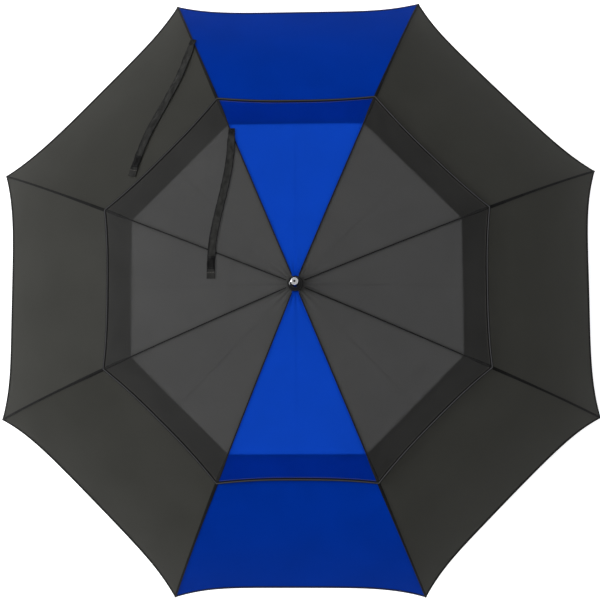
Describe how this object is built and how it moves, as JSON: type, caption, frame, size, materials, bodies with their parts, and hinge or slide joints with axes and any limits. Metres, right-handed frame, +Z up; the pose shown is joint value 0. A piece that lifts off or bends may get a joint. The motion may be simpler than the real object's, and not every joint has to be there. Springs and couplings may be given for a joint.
{
  "type": "golf umbrella",
  "caption": "Large manual golf umbrella, open, with a vented double canopy in black and blue gores, a folding rib frame, a sliding runner and a straight grip.",
  "frame": {"origin": "centre of the hand grip, on the shaft's axis", "axes": "+Z up the shaft towards the ferrule; +X to the right and +Y to the top of the canopy seen from above, with the two blue gores on +Y and -Y"},
  "size_m": [1.2768, 1.2768, 1.0474],
  "materials": {
    "cloth_black": "woven pongee, charcoal black",
    "cloth_blue": "woven pongee, royal blue",
    "strap_webbing": "black woven tape",
    "trim_grey": "grey piping and thread",
    "thread_dark": "dark thread and binding",
    "fibreglass": "satin black fibreglass",
    "hub_plastic": "moulded black nylon",
    "button_plastic": "smooth dark grey",
    "black_gloss": "glossy black",
    "polished_metal": "polished silver",
    "satin_metal": "satin silver",
    "steel": "plain steel",
    "grip_foam": "fine-celled foam"
  },
  "bodies": {
    "stick": {"shaft": "fibreglass", "catch_sleeves": "steel", "grip_core": "hub_plastic", "grip": "grip_foam", "grip_end_cap": "hub_plastic", "grip_collar": "satin_metal", "top_notch": "hub_plastic", "notch_ring": "steel", "crown_washer": "hub_plastic", "crown_cap": "black_gloss", "ferrule": "black_gloss", "ferrule_tip": "polished_metal"},
    "rib_1": {"rib_1": "fibreglass", "vent_gore_1": "cloth_black"},
    "rib_2": {"rib_2": "fibreglass", "vent_gore_2": "cloth_blue"},
    "rib_3": {"rib_3": "fibreglass", "vent_gore_3": "cloth_black", "tie_strap_vent": "strap_webbing"},
    "rib_4": {"rib_4": "fibreglass", "vent_gore_4": "cloth_black"},
    "rib_5": {"rib_5": "fibreglass", "vent_gore_5": "cloth_black"},
    "rib_6": {"rib_6": "fibreglass", "vent_gore_6": "cloth_blue"},
    "rib_7": {"rib_7": "fibreglass", "vent_gore_7": "cloth_black"},
    "rib_8": {"rib_8": "fibreglass", "vent_gore_8": "cloth_black"},
    "rib_end_1": {"rib_end_1": "fibreglass", "lower_gore_1": "cloth_black"},
    "rib_end_2": {"rib_end_2": "fibreglass", "lower_gore_2": "cloth_blue"},
    "rib_end_3": {"rib_end_3": "fibreglass", "lower_gore_3": "cloth_black", "tie_strap_outer": "strap_webbing"},
    "rib_end_4": {"rib_end_4": "fibreglass", "lower_gore_4": "cloth_black"},
    "rib_end_5": {"rib_end_5": "fibreglass", "lower_gore_5": "cloth_black"},
    "rib_end_6": {"rib_end_6": "fibreglass", "lower_gore_6": "cloth_blue"},
    "rib_end_7": {"rib_end_7": "fibreglass", "lower_gore_7": "cloth_black"},
    "rib_end_8": {"rib_end_8": "fibreglass", "lower_gore_8": "cloth_black"},
    "stretcher_1": {"stretcher_1": "fibreglass"},
    "stretcher_2": {"stretcher_2": "fibreglass"},
    "stretcher_3": {"stretcher_3": "fibreglass"},
    "stretcher_4": {"stretcher_4": "fibreglass"},
    "stretcher_5": {"stretcher_5": "fibreglass"},
    "stretcher_6": {"stretcher_6": "fibreglass"},
    "stretcher_7": {"stretcher_7": "fibreglass"},
    "stretcher_8": {"stretcher_8": "fibreglass"},
    "runner": {"runner": "hub_plastic", "runner_ring": "steel", "button_spring": "steel"},
    "button": {"runner_button": "button_plastic"}
  },
  "joints": [
    {"name": "rib_1_fold", "type": "hinge", "parent": "stick", "child": "rib_1", "pos_m": [0.01109, 0.00459, 0.9], "axis": [-0.3827, 0.9239, 0], "range_deg": [0, 70.41], "deforming": ["vent_gore_1"]},
    {"name": "rib_2_fold", "type": "hinge", "parent": "stick", "child": "rib_2", "pos_m": [0.00459, 0.01109, 0.9], "axis": [-0.9239, 0.3827, 0], "range_deg": [0, 70.41], "deforming": ["vent_gore_2"]},
    {"name": "rib_3_fold", "type": "hinge", "parent": "stick", "child": "rib_3", "pos_m": [-0.00459, 0.01109, 0.9], "axis": [-0.9239, -0.3827, 0], "range_deg": [0, 70.41], "deforming": ["vent_gore_3", "tie_strap_vent"]},
    {"name": "rib_4_fold", "type": "hinge", "parent": "stick", "child": "rib_4", "pos_m": [-0.01109, 0.00459, 0.9], "axis": [-0.3827, -0.9239, 0], "range_deg": [0, 70.41], "deforming": ["vent_gore_4"]},
    {"name": "rib_5_fold", "type": "hinge", "parent": "stick", "child": "rib_5", "pos_m": [-0.01109, -0.00459, 0.9], "axis": [0.3827, -0.9239, 0], "range_deg": [0, 70.41], "deforming": ["vent_gore_5"]},
    {"name": "rib_6_fold", "type": "hinge", "parent": "stick", "child": "rib_6", "pos_m": [-0.00459, -0.01109, 0.9], "axis": [0.9239, -0.3827, 0], "range_deg": [0, 70.41], "deforming": ["vent_gore_6"]},
    {"name": "rib_7_fold", "type": "hinge", "parent": "stick", "child": "rib_7", "pos_m": [0.00459, -0.01109, 0.9], "axis": [0.9239, 0.3827, 0], "range_deg": [0, 70.41], "deforming": ["vent_gore_7"]},
    {"name": "rib_8_fold", "type": "hinge", "parent": "stick", "child": "rib_8", "pos_m": [0.01109, -0.00459, 0.9], "axis": [0.3827, 0.9239, 0], "range_deg": [0, 70.41], "deforming": ["vent_gore_8"]},
    {"name": "rib_end_1_flex", "type": "hinge", "parent": "rib_1", "child": "rib_end_1", "pos_m": [0.41244, 0.17084, 0.78765], "axis": [-0.3827, 0.9239, 0], "range_deg": [-13.01, 0], "deforming": ["lower_gore_1"]},
    {"name": "rib_end_2_flex", "type": "hinge", "parent": "rib_2", "child": "rib_end_2", "pos_m": [0.17084, 0.41244, 0.78765], "axis": [-0.9239, 0.3827, 0], "range_deg": [-13.01, 0], "deforming": ["lower_gore_2"]},
    {"name": "rib_end_3_flex", "type": "hinge", "parent": "rib_3", "child": "rib_end_3", "pos_m": [-0.17084, 0.41244, 0.78765], "axis": [-0.9239, -0.3827, 0], "range_deg": [-13.01, 0], "deforming": ["lower_gore_3", "tie_strap_outer"]},
    {"name": "rib_end_4_flex", "type": "hinge", "parent": "rib_4", "child": "rib_end_4", "pos_m": [-0.41244, 0.17084, 0.78765], "axis": [-0.3827, -0.9239, 0], "range_deg": [-13.01, 0], "deforming": ["lower_gore_4"]},
    {"name": "rib_end_5_flex", "type": "hinge", "parent": "rib_5", "child": "rib_end_5", "pos_m": [-0.41244, -0.17084, 0.78765], "axis": [0.3827, -0.9239, 0], "range_deg": [-13.01, 0], "deforming": ["lower_gore_5"]},
    {"name": "rib_end_6_flex", "type": "hinge", "parent": "rib_6", "child": "rib_end_6", "pos_m": [-0.17084, -0.41244, 0.78765], "axis": [0.9239, -0.3827, 0], "range_deg": [-13.01, 0], "deforming": ["lower_gore_6"]},
    {"name": "rib_end_7_flex", "type": "hinge", "parent": "rib_7", "child": "rib_end_7", "pos_m": [0.17084, -0.41244, 0.78765], "axis": [0.9239, 0.3827, 0], "range_deg": [-13.01, 0], "deforming": ["lower_gore_7"]},
    {"name": "rib_end_8_flex", "type": "hinge", "parent": "rib_8", "child": "rib_end_8", "pos_m": [0.41244, -0.17084, 0.78765], "axis": [0.3827, 0.9239, 0], "range_deg": [-13.01, 0], "deforming": ["lower_gore_8"]},
    {"name": "stretcher_1_turn", "type": "hinge", "parent": "rib_1", "child": "stretcher_1", "pos_m": [0.34131, 0.14137, 0.80975], "axis": [-0.3827, 0.9239, 0], "range_deg": [-140.82, 0]},
    {"name": "stretcher_2_turn", "type": "hinge", "parent": "rib_2", "child": "stretcher_2", "pos_m": [0.14137, 0.34131, 0.80975], "axis": [-0.9239, 0.3827, 0], "range_deg": [-140.82, 0]},
    {"name": "stretcher_3_turn", "type": "hinge", "parent": "rib_3", "child": "stretcher_3", "pos_m": [-0.14137, 0.34131, 0.80975], "axis": [-0.9239, -0.3827, 0], "range_deg": [-140.82, 0]},
    {"name": "stretcher_4_turn", "type": "hinge", "parent": "rib_4", "child": "stretcher_4", "pos_m": [-0.34131, 0.14137, 0.80975], "axis": [-0.3827, -0.9239, 0], "range_deg": [-140.82, 0]},
    {"name": "stretcher_5_turn", "type": "hinge", "parent": "rib_5", "child": "stretcher_5", "pos_m": [-0.34131, -0.14137, 0.80975], "axis": [0.3827, -0.9239, 0], "range_deg": [-140.82, 0]},
    {"name": "stretcher_6_turn", "type": "hinge", "parent": "rib_6", "child": "stretcher_6", "pos_m": [-0.14137, -0.34131, 0.80975], "axis": [0.9239, -0.3827, 0], "range_deg": [-140.82, 0]},
    {"name": "stretcher_7_turn", "type": "hinge", "parent": "rib_7", "child": "stretcher_7", "pos_m": [0.14137, -0.34131, 0.80975], "axis": [0.9239, 0.3827, 0], "range_deg": [-140.82, 0]},
    {"name": "stretcher_8_turn", "type": "hinge", "parent": "rib_8", "child": "stretcher_8", "pos_m": [0.34131, -0.14137, 0.80975], "axis": [0.3827, 0.9239, 0], "range_deg": [-140.82, 0]},
    {"name": "runner_turn", "type": "hinge", "parent": "stretcher_1", "child": "runner", "pos_m": [0.01109, 0.00459, 0.7195], "axis": [-0.3827, 0.9239, 0], "range_deg": [0, 70.41]},
    {"name": "button_press", "type": "slide", "parent": "runner", "child": "button", "axis": [-1, 0, 0], "range_m": [0, 0.0015], "stiffness_N_per_m": 500, "springref_m": -0.002, "deforming": ["button_spring"]}
  ],
  "couplings": [
    {"joint": "rib_2_fold", "follows": "rib_1_fold", "ratio": 1},
    {"joint": "rib_3_fold", "follows": "rib_1_fold", "ratio": 1},
    {"joint": "rib_4_fold", "follows": "rib_1_fold", "ratio": 1},
    {"joint": "rib_5_fold", "follows": "rib_1_fold", "ratio": 1},
    {"joint": "rib_6_fold", "follows": "rib_1_fold", "ratio": 1},
    {"joint": "rib_7_fold", "follows": "rib_1_fold", "ratio": 1},
    {"joint": "rib_8_fold", "follows": "rib_1_fold", "ratio": 1},
    {"joint": "rib_end_1_flex", "follows": "rib_1_fold", "ratio": -0.18463},
    {"joint": "rib_end_2_flex", "follows": "rib_1_fold", "ratio": -0.18463},
    {"joint": "rib_end_3_flex", "follows": "rib_1_fold", "ratio": -0.18463},
    {"joint": "rib_end_4_flex", "follows": "rib_1_fold", "ratio": -0.18463},
    {"joint": "rib_end_5_flex", "follows": "rib_1_fold", "ratio": -0.18463},
    {"joint": "rib_end_6_flex", "follows": "rib_1_fold", "ratio": -0.18463},
    {"joint": "rib_end_7_flex", "follows": "rib_1_fold", "ratio": -0.18463},
    {"joint": "rib_end_8_flex", "follows": "rib_1_fold", "ratio": -0.18463},
    {"joint": "stretcher_1_turn", "follows": "rib_1_fold", "ratio": -2},
    {"joint": "stretcher_2_turn", "follows": "rib_1_fold", "ratio": -2},
    {"joint": "stretcher_3_turn", "follows": "rib_1_fold", "ratio": -2},
    {"joint": "stretcher_4_turn", "follows": "rib_1_fold", "ratio": -2},
    {"joint": "stretcher_5_turn", "follows": "rib_1_fold", "ratio": -2},
    {"joint": "stretcher_6_turn", "follows": "rib_1_fold", "ratio": -2},
    {"joint": "stretcher_7_turn", "follows": "rib_1_fold", "ratio": -2},
    {"joint": "stretcher_8_turn", "follows": "rib_1_fold", "ratio": -2},
    {"joint": "runner_turn", "follows": "rib_1_fold", "ratio": 1}
  ]
}
